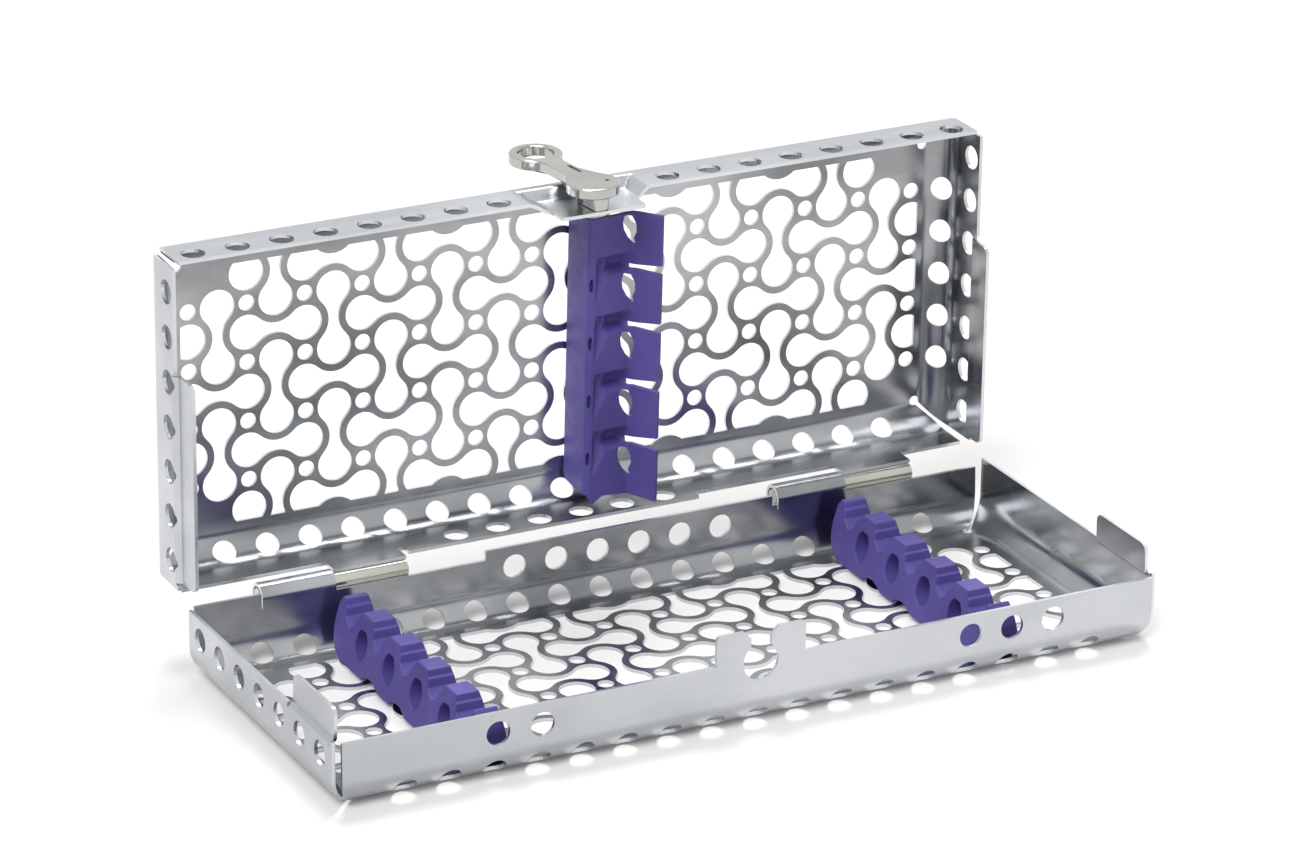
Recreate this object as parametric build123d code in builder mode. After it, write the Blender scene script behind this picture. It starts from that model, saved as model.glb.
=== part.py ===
"""Instrument cassette: two perforated sheet-steel trays that close like a book.

A base tray and a lid of one pressing turn on two rolled hinges at the rear.  Silicone rails
hold the instruments, and a quarter-turn latch on the lid locks in the base's keyhole.

Millimetres, with the origin at the centre of the base's underside, +X along the length,
+Y towards the hinge and +Z up.  The cassette is shown open, with its lid upright.
"""

import os
from math import cos, pi, radians, sin, sqrt, tan

from build123d import *

# Trays: one pressing serves for both
length = 201.8
width = 78.6
depth = 16.0
sheet = 0.8
bend_radius = 7.0
rim_gap = 0.3
corner_inset = 7.3
corner_relief = 1.2
corner_slot = 1.1

# Perforated field of each panel
pitch = 14.0
field_edge = (1.0, 1.6)
lobe_radius = 4.13
dot_radius = 1.9

# Round holes in the bends and walls
hole_radius = 2.8
hole_spacing = 10.5
base_hole_drop = 4.9
lid_hole_drop = 3.6

# Hinge
hinge_out = 2.2
hinge_drop = 1.6
hinge_half_gap = 64.7
knuckle_length = 18.1
pin_radius = 2.15
pin_clearance = 0.05
rim_step = 2.4
rim_margin = 1.6
end_play = 0.3
tongue_past_pin = 0.3

# Tabs that overlap the other tray's ends
tab_height = 6.8
tab_gap = 0.3
tab_lean = 0.2
tab_corner = 2.0
tab_slit = 0.5
base_tab = (2.8, 23.8)
lid_tab = (3.0, 52.0)

# Keyhole tab on the base's front wall
keyhole_tab_width = 21.8
keyhole_tab_height = 7.0
keyhole_radius = 4.3
keyhole_drop = 0.6
keyhole_neck = 5.0
keyhole_flare = 1.8
keyhole_tab_corner = 1.0

# Latch
recess_depth = 2.5
recess_outer = (-15.5, 14.8)
recess_flat = (-9.5, 11.3)
recess_start = (7.0, 9.5)
plate_reach = 5.0
plate_corner = 0.6
hub_clearance = 0.2
hub_flats = 3.4
hub_height = 3.4
lever_thickness = 2.5
lever_length = 22.9
lever_rest = 7.5
head_radius = 6.0
ring_radius = 6.15
ring_hole = 4.1
groove_place = (1.15, 9.0)
groove_size = (1.0, 5.2)
dimple_place = (3.0, -1.1)
dimple_radius = 0.5
mark_depth = 0.5
waist_width = 5.0
shank_radius = 1.5
rivet_head_radius = 2.6
rivet_head_height = 1.0
washer_radius = 3.7
washer_thickness = 0.7
running_gap = 0.05

# Instrument rails
rail_thickness = 5.4
rail_column = 4.5
rail_height = 13.6
rail_wall_gap = 0.3
rail_corner = 8.0
rail_window = (3.3, 7.0)
rail_window_height = 6.8
plug_clearance = 0.1
arch_width = 8.0
arch_height = 1.4

# Rail of the lid
flap_foot = (1.6, 11.6)
flap_foot_thickness = 1.2
flap_wall = 1.3
flap_height = 11.7
flap_thickness = 1.1
flap_fold = (13.2, 10.5)
flap_lip = (17.4, 16.0)
flap_top = 31.5
flap_cell = 14.0
flap_slit = 1.6
flap_slit_start = 10.5
flap_window = (2.6, 6.0)
flap_window_place = 10.4

# Chords that stand for a round outline where it repeats
hole_sides = 6
dot_sides = 4
relief_sides = 6
round_sides = 16
lobe_chords = 3
bend_angles = (0, 20, 70, 90)
window_sides = 8

# Worked out from the sizes above
closed_height = 2 * depth + rim_gap
hinge_y = width / 2 + hinge_out
hinge_z = depth - hinge_drop
knuckle_bore = pin_radius + pin_clearance
knuckle_radius = knuckle_bore + sheet
keyhole_z = depth - keyhole_drop
latch_w = closed_height - keyhole_z
neck_radius = pitch / sqrt(2) - lobe_radius
field_length = length - 2 * (bend_radius + field_edge[0])
field_width = width - 2 * (bend_radius + field_edge[1])
half_columns = int(field_length / (2 * pitch) + 0.5)
half_rows = int(field_width / (2 * pitch) + 0.5)
plate_face = width / 2 - recess_depth

# Each tray has its own axes: panel at z = 0, walls along its +z.  The lid stands upright.
base_frame = Plane.XY
lid_frame = Plane(
    origin=(0, hinge_y + closed_height - hinge_z, hinge_z + hinge_y),
    x_dir=(1, 0, 0),
    z_dir=(0, -1, 0),
)


def in_tray(frame, origin, x_dir, z_dir):
    """A plane given in a tray's own axes."""
    return Plane(frame.location * Plane(origin, x_dir=x_dir, z_dir=z_dir).location)


def facet_radius(radius, sides):
    """Corner radius of the polygon that opens the same area as a round hole."""
    return radius * sqrt(2 * pi / (sides * sin(2 * pi / sides)))


def arc_points(centre, radius, start, sweep, chords):
    """Points on an arc, spread evenly, with both of its ends."""
    steps = [radians(start + sweep * i / chords) for i in range(chords + 1)]
    return [(centre[0] + radius * cos(a), centre[1] + radius * sin(a)) for a in steps]


def oval(half_width, half_height):
    """An ellipse drawn with a few chords."""
    unit = arc_points((0, 0), 1, 0, 360, window_sides)[:-1]
    return [(half_width * x, half_height * y) for x, y in unit]


def dog_bone():
    """Two round lobes joined by a neck, which is narrowest midway between them."""
    half = pitch / 2
    open_angle = 100
    right = arc_points((half, 0), lobe_radius, -open_angle, 2 * open_angle, lobe_chords)
    left = arc_points((-half, 0), lobe_radius, 180 - open_angle, 2 * open_angle, lobe_chords)
    return right + [(0, half - neck_radius)] + left + [(0, neck_radius - half)]


def lattice():
    """Centres of the lengthwise bones, the crosswise bones and the single lobes."""
    along, across, lobes = [], [], []
    for a in range(1 - half_columns, half_columns):
        for b in range(-half_rows, half_rows + 1):
            at_corner = abs(a) == half_columns - 1 and abs(b) == half_rows
            if (a + b) % 2 == 1:
                across.append((a * pitch, b * pitch))
            elif at_corner:
                lobes.append((a * pitch * (1 - 0.5 / abs(a)), b * pitch))
            else:
                along.append((a * pitch, b * pitch))
    for b in range(1 - half_rows, half_rows):
        if (half_columns + b) % 2 == 0:
            for side in (-1, 1):
                lobes.append((side * (half_columns - 0.5) * pitch, b * pitch))
    return along, across, lobes


def folded_profile(span):
    """Section of a tray with its mouth filled in, wall to wall over a span."""
    turns = [radians(angle) for angle in bend_angles]
    right = [(span / 2 - bend_radius * (1 - sin(a)), bend_radius * (1 - cos(a))) for a in turns]
    left = [(-x, y) for x, y in reversed(right)]
    return right + [(span / 2, depth), (-span / 2, depth)] + left


def press_tray():
    """Panel and four walls folded from one blank, which stays open at its corners."""
    with BuildSketch(Plane.YZ) as across:
        Polygon(*folded_profile(width))
    extrude(across.sketch, amount=length / 2, both=True)
    with BuildSketch(Plane.XZ) as along:
        Polygon(*folded_profile(length))
    extrude(along.sketch, amount=width / 2, both=True, mode=Mode.INTERSECT)
    offset(amount=-sheet, openings=faces().sort_by(Axis.Z)[-1])
    with BuildSketch() as corners:
        for x_side in (-1, 1):
            for y_side in (-1, 1):
                relief = (
                    x_side * (length / 2 - corner_inset),
                    y_side * (width / 2 - corner_inset),
                )
                middle = (
                    x_side * (length / 2 - corner_inset / 2 + sheet),
                    y_side * (width / 2 - corner_inset / 2 + sheet),
                )
                slot_length = 2 * sqrt(2) * (corner_inset / 2 + sheet)
                with Locations(relief):
                    RegularPolygon(corner_relief, relief_sides)
                with Locations(middle):
                    Rectangle(slot_length, corner_slot, rotation=45 * x_side * y_side)
    extrude(corners.sketch, amount=depth, mode=Mode.SUBTRACT)


def panel_punches():
    """Bones laid along and across by turns, with a small hole where four of them meet."""
    along, across, lobes = lattice()
    with BuildSketch() as field:
        with Locations(*along):
            Polygon(*dog_bone())
        with Locations(*across):
            Polygon(*dog_bone(), rotation=90)
        with Locations(*lobes):
            RegularPolygon(facet_radius(lobe_radius, hole_sides), hole_sides)
        Rectangle(field_length, field_width, mode=Mode.INTERSECT)
        with GridLocations(pitch, pitch, 2 * half_columns, 2 * half_rows):
            RegularPolygon(facet_radius(dot_radius, dot_sides), dot_sides)
    extrude(field.sketch, amount=sheet)


def hole_row(plane, places, reach, mode=Mode.SUBTRACT):
    """A row of round holes, or of the punches that make them, from a plane along its normal."""
    with BuildSketch(plane) as holes:
        with Locations(*[(place * hole_spacing, 0) for place in places]):
            RegularPolygon(facet_radius(hole_radius, hole_sides), hole_sides)
    extrude(holes.sketch, amount=reach, mode=mode)


def symmetric_row(span):
    """Every hole place that fits between two bends, counted from the middle."""
    last = int((span / 2 - bend_radius - 2 * hole_radius) / hole_spacing)
    return range(-last, last + 1)


def side_bend_punches():
    """The holes on the bends of the two long sides."""
    for side in (-1, 1):
        centre = (0, side * (width / 2 - bend_radius), bend_radius)
        plane = Plane(centre, x_dir=(1, 0, 0), z_dir=(0, side, -1))
        hole_row(plane, symmetric_row(length), bend_radius + sheet, Mode.ADD)


def pierce_end_bends(frame):
    """The holes on the bends of the two short ends."""
    for side in (-1, 1):
        centre = (side * (length / 2 - bend_radius), 0, bend_radius)
        plane = in_tray(frame, centre, (0, 1, 0), (side, 0, -1))
        hole_row(plane, symmetric_row(width), bend_radius + sheet)


def pierce_side_wall(frame, side, drop, places):
    """Holes in a long wall, counted from its middle, at a drop below its rim."""
    plane = in_tray(frame, (0, side * width / 2, depth - drop), (1, 0, 0), (0, -side, 0))
    hole_row(plane, places, 1.2 * sheet)


def pierce_end_wall(frame, side, drop):
    """Holes in a short wall, as many as fit, at a drop below its rim."""
    plane = in_tray(frame, (side * length / 2, 0, depth - drop), (0, 1, 0), (-side, 0, 0))
    last = int((width / 2 - 2 * hole_radius) / hole_spacing)
    hole_row(plane, range(-last, last + 1), 1.2 * sheet)


def lower_rim(frame, side, spans):
    """Cut the hinge wall's rim down to a height over each span (from, to, height)."""
    for start, end, height in spans:
        middle = ((start + end) / 2, side * (width / 2 - sheet / 2), depth + sheet)
        cut = in_tray(frame, middle, (1, 0, 0), (0, 0, -1))
        with BuildSketch(cut) as notch:
            Rectangle(end - start, 1.2 * sheet)
        extrude(notch.sketch, amount=depth + sheet - height, mode=Mode.SUBTRACT)


def add_end_tabs(frame, start, end):
    """A joggled tab on each short wall, slit free beside it, for inside the other's wall."""
    up = Axis(frame.origin, frame.z_dir)
    joggle = sheet + tab_gap
    low = depth - joggle
    for side in (-1, 1):
        span = in_tray(frame, (side * (length / 2 - sheet / 2), (start + end) / 2, low),
                       (1, 0, 0), (0, 0, 1))
        with BuildSketch(span) as slits:
            Rectangle(1.2 * sheet, end - start + 2 * tab_slit)
        extrude(slits.sketch, amount=depth, mode=Mode.SUBTRACT)
        x = [side * (length / 2 - step) for step in
             (0, 0, joggle, joggle + tab_lean, joggle + tab_lean + sheet, joggle + sheet,
              sheet, sheet)]
        z = [low - sheet, low, depth, depth + tab_height, depth + tab_height,
             depth, low, low - sheet]
        with BuildSketch(in_tray(frame, (0, end, 0), (1, 0, 0), (0, -1, 0))) as joggled:
            Polygon(*zip(x, z))
        extrude(joggled.sketch, amount=end - start)
        across = Axis(frame.origin, frame.x_dir)
        corners = edges(Select.LAST).filter_by(across).sort_by(up)[-2:]
        fillet(corners, radius=tab_corner)


# What both trays share: the pressing, and the punches of its panel and long bends --------

with BuildPart() as pressing:
    press_tray()

with BuildPart() as punches:
    panel_punches()
    side_bend_punches()

# Base tray ----------------------------------------------------------------------------

left_knuckle = (-hinge_half_gap - knuckle_length, -hinge_half_gap)
right_knuckle = (hinge_half_gap - knuckle_length, hinge_half_gap)
left_rod_end = knuckle_length - hinge_half_gap
low_rim = depth - rim_step

with BuildPart() as base_tray:
    add(pressing.part)
    pierce_side_wall(base_frame, -1, base_hole_drop, (-6, -5, 5, 6, 7))
    pierce_side_wall(base_frame, 1, base_hole_drop, range(-2, 4))
    pierce_end_wall(base_frame, -1, base_hole_drop)
    corner_stop = length / 2 - corner_slot
    base_spans = [
        (left_knuckle[0], left_knuckle[1], hinge_z),
        (left_knuckle[1], left_rod_end + knuckle_length + end_play, low_rim),
        (right_knuckle[0] - rim_margin, right_knuckle[0], low_rim),
        (right_knuckle[0], right_knuckle[1], hinge_z),
        (right_knuckle[1], corner_stop, low_rim),
    ]
    lower_rim(base_frame, 1, base_spans)
    # Knuckles: the wall runs on into a roll that ends beside the wall again
    for start, end in (left_knuckle, right_knuckle):
        knuckle_plane = Plane((start, hinge_y, hinge_z), x_dir=(0, 1, 0), z_dir=(1, 0, 0))
        with BuildSketch(knuckle_plane):
            Circle(knuckle_radius)
            Circle(knuckle_bore, mode=Mode.SUBTRACT)
            opening = 2 * knuckle_radius
            mouth = opening * tan(radians(35))
            Polygon((0, 0), (-opening, 0), (-opening, -opening), (-mouth, -opening),
                    mode=Mode.SUBTRACT)
        extrude(amount=end - start - end_play)
    base_depth = width / 2
    add_end_tabs(base_frame, base_tab[0] - base_depth, base_tab[1] - base_depth)
    # Keyhole tab
    front_wall = Plane((0, -width / 2, depth), x_dir=(1, 0, 0), z_dir=(0, -1, 0))
    with BuildSketch(front_wall) as keyhole_tab:
        with Locations((0, -sheet)):
            Rectangle(keyhole_tab_width, keyhole_tab_height + sheet,
                      align=(Align.CENTER, Align.MIN))
        fillet(keyhole_tab.vertices().group_by(Axis.Y)[-1], radius=keyhole_tab_corner)
    extrude(amount=-sheet)
    with BuildSketch(front_wall):
        with Locations((0, -keyhole_drop)):
            Circle(keyhole_radius)
        Rectangle(keyhole_neck, keyhole_tab_height, align=(Align.CENTER, Align.MIN))
        half_neck = keyhole_neck / 2
        flare = half_neck + keyhole_flare
        below = keyhole_tab_height - keyhole_flare
        Polygon((-flare, keyhole_tab_height), (flare, keyhole_tab_height),
                (half_neck, below), (-half_neck, below))
    extrude(amount=-1.1 * sheet, mode=Mode.SUBTRACT)
    add(punches.part, mode=Mode.SUBTRACT)

# Lid ----------------------------------------------------------------------------------

tongue_reach = closed_height - hinge_z + tongue_past_pin


def recess_sections(wall, reach):
    """Mouth and floor of the latch's recess, whose sides slope from one to the other."""
    sections = []
    for level, sides, low in ((0, recess_outer, recess_start[0]),
                              (recess_depth, recess_flat, recess_start[1])):
        with BuildSketch(wall.offset(level)) as section:
            with Locations((sides[0], low)):
                Rectangle(sides[1] - sides[0], reach - low, align=(Align.MIN, Align.MIN))
        sections.append(section.sketch)
    return sections


with BuildPart() as lid_tray:
    add(pressing.part.moved(lid_frame.location))
    pierce_end_bends(lid_frame)
    pierce_side_wall(lid_frame, 1, lid_hole_drop, [k for k in range(-9, 10) if abs(k) > 1])
    pierce_side_wall(lid_frame, -1, lid_hole_drop, range(-3, 3))
    pierce_end_wall(lid_frame, -1, lid_hole_drop)
    pierce_end_wall(lid_frame, 1, lid_hole_drop)
    lid_spans = [
        (-corner_stop, left_rod_end + rim_margin, low_rim),
        (right_knuckle[0] - knuckle_length, corner_stop, low_rim),
    ]
    lower_rim(lid_frame, -1, lid_spans)
    # Tongues that carry the hinge rods
    hinge_wall = in_tray(lid_frame, (0, -width / 2, 0), (1, 0, 0), (0, -1, 0))
    with BuildSketch(hinge_wall):
        for start in (left_knuckle[1], right_knuckle[1]):
            with Locations((start + end_play, low_rim - sheet)):
                Rectangle(knuckle_length - end_play, tongue_reach - low_rim + sheet,
                          align=(Align.MIN, Align.MIN))
    extrude(amount=-sheet)
    add_end_tabs(lid_frame, lid_tab[0] - width / 2, lid_tab[1] - width / 2)
    # Recess of the latch, dished in the front wall and running on past the rim
    latch_wall = in_tray(lid_frame, (0, width / 2, 0), (1, 0, 0), (0, -1, 0))

    loft(recess_sections(latch_wall.offset(sheet), depth), ruled=True)
    with BuildSketch(latch_wall.offset(recess_depth)) as plate:
        with Locations((recess_flat[0], depth - sheet)):
            Rectangle(recess_flat[1] - recess_flat[0], plate_reach + sheet,
                      align=(Align.MIN, Align.MIN))
        fillet(plate.vertices().group_by(Axis.Y)[-1], radius=plate_corner)
    extrude(amount=sheet)
    loft(recess_sections(latch_wall, depth + 2 * plate_reach), ruled=True, mode=Mode.SUBTRACT)
    with BuildSketch(latch_wall):
        with Locations((0, latch_w)):
            Circle(shank_radius + running_gap)
    extrude(amount=recess_depth + 2 * sheet, mode=Mode.SUBTRACT)
    add(punches.part.moved(lid_frame.location), mode=Mode.SUBTRACT)

# Hinge rods ---------------------------------------------------------------------------


def hinge_rod(start):
    """A rod that runs through a knuckle of the base and along a tongue of the lid."""
    end = Plane((start, hinge_y, hinge_z), x_dir=(0, 1, 0), z_dir=(1, 0, 0))
    with BuildSketch(end) as section:
        Circle(pin_radius)
    extrude(section.sketch, amount=2 * knuckle_length)


with BuildPart() as hinge_rod_left:
    hinge_rod(left_knuckle[0])

with BuildPart() as hinge_rod_right:
    hinge_rod(right_knuckle[0])

# Rails of the base --------------------------------------------------------------------


def rail_outline():
    """Pads between V valleys, with two small steps on each flank."""
    half_span = width / 2 - sheet - rail_wall_gap
    top = sheet + rail_height
    flank = [(0.49, 0), (0.53, -1.5), (0.62, -1.8), (0.66, -3.6), (1.0, -6.6)]
    half = pitch / 2
    pads = 2 * half_rows
    points = []
    for pad in range(-half_rows - 1, half_rows + 1):
        centre = (pad + 0.5) * pitch
        rising = [(centre - share * half, top + drop) for share, drop in reversed(flank)]
        falling = [(centre + share * half, top + drop) for share, drop in flank[:-1]]
        points += rising + falling
    inside = [point for point in points if abs(point[0]) < half_span]
    ends = [(half_span, top), (half_span, sheet), (-half_span, sheet), (-half_span, top)]
    return inside + ends, pads


def rail(column):
    """A silicone rail across the base, plugged into the panel's small holes."""
    outline, pads = rail_outline()
    left = column * pitch - rail_thickness / 2
    with BuildSketch(Plane((left, 0, 0), x_dir=(0, 1, 0), z_dir=(1, 0, 0))) as section:
        Polygon(*outline)
        fillet(section.vertices().group_by(Axis.Y)[0], radius=rail_corner)
        for valley in range(-half_rows, half_rows + 1):
            with Locations((valley * pitch, sheet)):
                Polygon(*oval(arch_width / 2, arch_height), mode=Mode.SUBTRACT)
        for pad in range(-half_rows, half_rows):
            with Locations(((pad + 0.5) * pitch, sheet + rail_window_height)):
                Polygon(*oval(rail_window[0] / 2, rail_window[1] / 2), mode=Mode.SUBTRACT)
    extrude(section.sketch, amount=rail_thickness)
    with BuildSketch(Plane.XY.offset(sheet)) as plugs:
        with Locations((column * pitch, 0)):
            with GridLocations(pitch, pitch, 1, pads):
                RegularPolygon(facet_radius(dot_radius - plug_clearance, dot_sides), dot_sides)
    extrude(plugs.sketch, amount=-sheet)


with BuildPart() as rail_left:
    rail(-rail_column)

with BuildPart() as rail_right:
    rail(rail_column)

# Rail of the lid ----------------------------------------------------------------------

flap_bottom = bend_radius - width / 2

with BuildPart() as lid_rail:
    ridge = (flap_foot[0], sheet + flap_height)
    fold = (flap_fold[0], sheet + flap_fold[1])
    lip = (flap_lip[0], sheet + flap_lip[1])
    foot_top = sheet + flap_foot_thickness
    inside = flap_foot[0] + flap_wall
    section_plane = in_tray(lid_frame, (0, flap_top, 0), (1, 0, 0), (0, -1, 0))
    with BuildSketch(section_plane):
        Polygon((flap_foot[0], sheet), (flap_foot[1], sheet), (flap_foot[1], foot_top),
                (inside, foot_top), (inside, ridge[1] - flap_thickness),
                (fold[0], fold[1] - flap_thickness), (lip[0] + flap_thickness, lip[1]),
                lip, fold, ridge)
    extrude(amount=flap_top - flap_bottom)
    panel_view = in_tray(lid_frame, (0, 0, sheet), (1, 0, 0), (0, 0, 1))
    cells = int((flap_top - flap_bottom) / flap_cell)
    with BuildSketch(panel_view.offset(flap_foot_thickness + flap_wall)):
        for cell in range(cells + 1):
            centre = flap_top - flap_cell / 2 - cell * flap_cell
            with Locations((flap_slit_start, centre - flap_cell / 2)):
                Rectangle(flap_lip[0], flap_slit, align=(Align.MIN, Align.CENTER))
            with Locations((flap_window_place, centre)):
                Polygon(*oval(flap_window[0] / 2, flap_window[1] / 2))
    extrude(amount=flap_height + flap_lip[1], mode=Mode.SUBTRACT)
    with BuildSketch(panel_view):
        for row in range(-half_rows, half_rows):
            with Locations((pitch / 2, (row + 0.5) * pitch)):
                RegularPolygon(facet_radius(dot_radius - plug_clearance, dot_sides), dot_sides)
    extrude(amount=-sheet)

# Latch --------------------------------------------------------------------------------


def latch_plane(level):
    """Across the latch's axis, at a distance from the middle of the lid, turned with it."""
    turned = (cos(radians(lever_rest)), sin(radians(lever_rest)), 0)
    axis = lid_frame.from_local_coords((0, level, latch_w))
    return Plane(axis, x_dir=turned, z_dir=(0, 0, 1))


hub_foot = plate_face + running_gap
lever_foot = plate_face + hub_height
washer_top = plate_face - sheet
rivet_top = washer_top - washer_thickness - running_gap
hub_radius = keyhole_radius - hub_clearance

with BuildPart() as latch_hub:
    with BuildSketch(latch_plane(hub_foot)):
        Circle(hub_radius)
        Rectangle(hub_flats, 2 * hub_radius, mode=Mode.INTERSECT)
    extrude(amount=lever_foot - hub_foot)

with BuildPart() as latch_lever:
    with BuildSketch(latch_plane(lever_foot)) as lever_outline:
        Circle(head_radius)
        with Locations((0, lever_length)):
            Circle(ring_radius)
        Rectangle(waist_width, lever_length, align=(Align.CENTER, Align.MIN))
        waist = lever_outline.vertices().filter_by(
            lambda vertex: head_radius / 2 < vertex.Y < lever_length
        )
        fillet(waist, radius=waist_width / 2)
        with Locations((0, lever_length)):
            Circle(ring_hole, mode=Mode.SUBTRACT)
    extrude(amount=lever_thickness)
    with BuildSketch(latch_plane(lever_foot + lever_thickness)):
        with Locations(groove_place):
            SlotOverall(groove_size[1], groove_size[0], rotation=90)
        with Locations(dimple_place):
            RegularPolygon(dimple_radius, hole_sides)
    extrude(amount=-mark_depth, mode=Mode.SUBTRACT)

with BuildPart() as latch_washer:
    with BuildSketch(latch_plane(washer_top)):
        RegularPolygon(washer_radius, round_sides)
        Circle(shank_radius + running_gap, mode=Mode.SUBTRACT)
    extrude(amount=-washer_thickness)

with BuildPart() as latch_rivet:
    with BuildSketch(latch_plane(rivet_top)):
        Circle(shank_radius)
    extrude(amount=hub_foot - rivet_top)
    with BuildSketch(latch_plane(rivet_top)):
        RegularPolygon(rivet_head_radius, round_sides)
    extrude(amount=-rivet_head_height)

# Files --------------------------------------------------------------------------------

os.makedirs("parts", exist_ok=True)

base_tray.part.label = "base_tray"
export_step(base_tray.part, "parts/base_tray.step")
lid_tray.part.label = "lid_tray"
export_step(lid_tray.part, "parts/lid_tray.step")
hinge_rod_left.part.label = "hinge_rod_left"
export_step(hinge_rod_left.part, "parts/hinge_rod_left.step")
hinge_rod_right.part.label = "hinge_rod_right"
export_step(hinge_rod_right.part, "parts/hinge_rod_right.step")
rail_left.part.label = "rail_left"
export_step(rail_left.part, "parts/rail_left.step")
rail_right.part.label = "rail_right"
export_step(rail_right.part, "parts/rail_right.step")
lid_rail.part.label = "lid_rail"
export_step(lid_rail.part, "parts/lid_rail.step")
latch_hub.part.label = "latch_hub"
export_step(latch_hub.part, "parts/latch_hub.step")
latch_lever.part.label = "latch_lever"
export_step(latch_lever.part, "parts/latch_lever.step")
latch_washer.part.label = "latch_washer"
export_step(latch_washer.part, "parts/latch_washer.step")
latch_rivet.part.label = "latch_rivet"
export_step(latch_rivet.part, "parts/latch_rivet.step")
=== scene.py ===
"""Looks of the instrument cassette: folded trays, silicone rails, hinges and latch.

Lengths in the builders below are in millimetres.  Each tray is a flat blank, punched with round
holes, that is folded up along its bends; the rest is cut from outlines with softened edges.
"""

import math

import bpy
import numpy as np
from mathutils import Matrix, Vector
from mathutils.geometry import delaunay_2d_cdt


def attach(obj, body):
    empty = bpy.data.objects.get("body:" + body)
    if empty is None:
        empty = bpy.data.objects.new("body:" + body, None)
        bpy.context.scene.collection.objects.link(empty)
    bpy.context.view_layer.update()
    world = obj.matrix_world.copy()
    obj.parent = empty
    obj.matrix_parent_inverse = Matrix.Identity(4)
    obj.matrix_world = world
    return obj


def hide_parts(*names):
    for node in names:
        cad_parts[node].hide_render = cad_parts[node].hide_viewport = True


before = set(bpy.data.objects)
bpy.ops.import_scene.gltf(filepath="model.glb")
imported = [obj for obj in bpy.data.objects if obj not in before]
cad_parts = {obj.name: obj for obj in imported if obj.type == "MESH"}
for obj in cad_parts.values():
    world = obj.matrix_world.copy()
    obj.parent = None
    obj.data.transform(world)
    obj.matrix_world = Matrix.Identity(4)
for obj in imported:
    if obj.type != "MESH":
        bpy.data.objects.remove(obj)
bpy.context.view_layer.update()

MM = 0.001

# Trays
LENGTH, WIDTH, DEPTH, SHEET = 201.8, 78.6, 16.0, 0.8
BEND = 7.0
NEUTRAL = BEND - SHEET / 2
BEND_LENGTH = NEUTRAL * math.pi / 2
PANEL_X, PANEL_Y = LENGTH / 2 - BEND, WIDTH / 2 - BEND
CORNER_INSET, CORNER_RELIEF, CORNER_SHIFT = 7.3, 1.2, 0.78
LOW_RIM = DEPTH - 2.4
RIM_END = LENGTH / 2 - 1.1

# Perforation
PITCH, LOBE, DOT, HOLE, SPACING = 14.0, 4.13, 1.9, 2.8, 10.5
FIELD_X, FIELD_Y = PANEL_X - 1.0, PANEL_Y - 1.6
HALF_COLUMNS, HALF_ROWS = 7, 2
BASE_HOLES, LID_HOLES = DEPTH - 4.9, DEPTH - 3.6
FRONT_WALL_HOLES, REAR_WALL_HOLES = (-6, -5, 5, 6, 7), range(-2, 4)
LATCH_WALL_HOLES = [k for k in range(-9, 10) if abs(k) > 1]
HINGE_WALL_HOLES = range(-3, 3)

# Hinge
HINGE_Y, HINGE_Z = WIDTH / 2 + 2.2, DEPTH - 1.6
ROLL_RADIUS, ROLL_SWEEP, ROLL_STEPS = 2.6, math.radians(305), 26
ROLL_SLIT, ROLL_FOOT = 0.3, HINGE_Z - 2
LEFT_ROLL, RIGHT_ROLL = (-82.8, -65.0), (46.6, 64.4)
LEFT_TONGUE, RIGHT_TONGUE = (-64.4, -46.6), (65.0, 82.8)
TONGUE_REACH = 18.2
BASE_STEP, LID_STEP = (-28.2, 45.0), (-45.0, 28.5)

# Tabs of the end walls
TAB_HEIGHT, JOGGLE, TAB_LEAN, TAB_SLIT = 6.8, 1.1, 0.2, 0.5
BASE_TAB, LID_TAB = (-36.5, -15.5), (-36.3, 12.7)

# Recess of the latch in the lid's front wall, with the plate that its edge carries
DISH_SPAN, DISH_RAMPS, DISH_RISE, DISH_DEPTH = (-15.5, 14.8), (6.0, 3.5), 2.5, 2.5
PLATE_SPAN, PLATE_REACH, PLATE_CORNER = (-9.5, 11.3), 5.0, 0.6

# Base rails
RAIL_COLUMN, RAIL_THICKNESS, RAIL_TOP, RAIL_DRAFT = 4.5, 5.4, 14.4, 0.22
RAIL_END, RAIL_SHOULDER = 35.0, 9.0
WINDOW_HEIGHT, WINDOW_WIDE, WINDOW_HIGH = 7.6, 2.8, 3.5
ARCH_WIDE, ARCH_HIGH = 4.0, 1.4
PLUG_RADIUS, PLUG_EDGE = DOT - 0.1, 0.3

# Lid rail
FLAP_TOP, FLAP_BOTTOM, FIRST_SLIT = 31.5, -32.3, 19.3
FLAP_THICKNESS, FLAP_LEAN, FLAP_TAIL = 1.15, 0.9, 5.2
RIDGE_HEIGHT, SECTION_BEND = 11.9, 0.9
FACET_DEPTH, TROUGH_DEPTH = 2.4, 3.4

# Latch
LATCH_Y, PLATE_TOP, LEVER_REST = 42.5, 92.7, 7.5
LEVER_FOOT, LEVER_THICKNESS, LEVER_LENGTH = 96.1, 2.5, 22.9
RING_BORE, HUB_RADIUS, HUB_FLAT = 4.1, 4.1, 1.7
WASHER_THICKNESS, SEAT_GAP = 0.7, 0.05

# The base stands on z = 0; the lid is upright, with its mouth towards the front
BASE = Matrix.Identity(4)
LID = Matrix.Translation((0, 59.4, 55.9)) @ Matrix(
    ((1, 0, 0, 0), (0, 0, -1, 0), (0, 1, 0, 0), (0, 0, 0, 1))
)


# Plane outlines ---------------------------------------------------------------------------


def arc(centre, radius, start, sweep, count):
    """Points along an arc, ends included; angles in degrees."""
    turn = np.radians(start + sweep * np.arange(count + 1) / count)
    return [
        (centre[0] + radius * math.cos(a), centre[1] + radius * math.sin(a)) for a in turn
    ]


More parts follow.
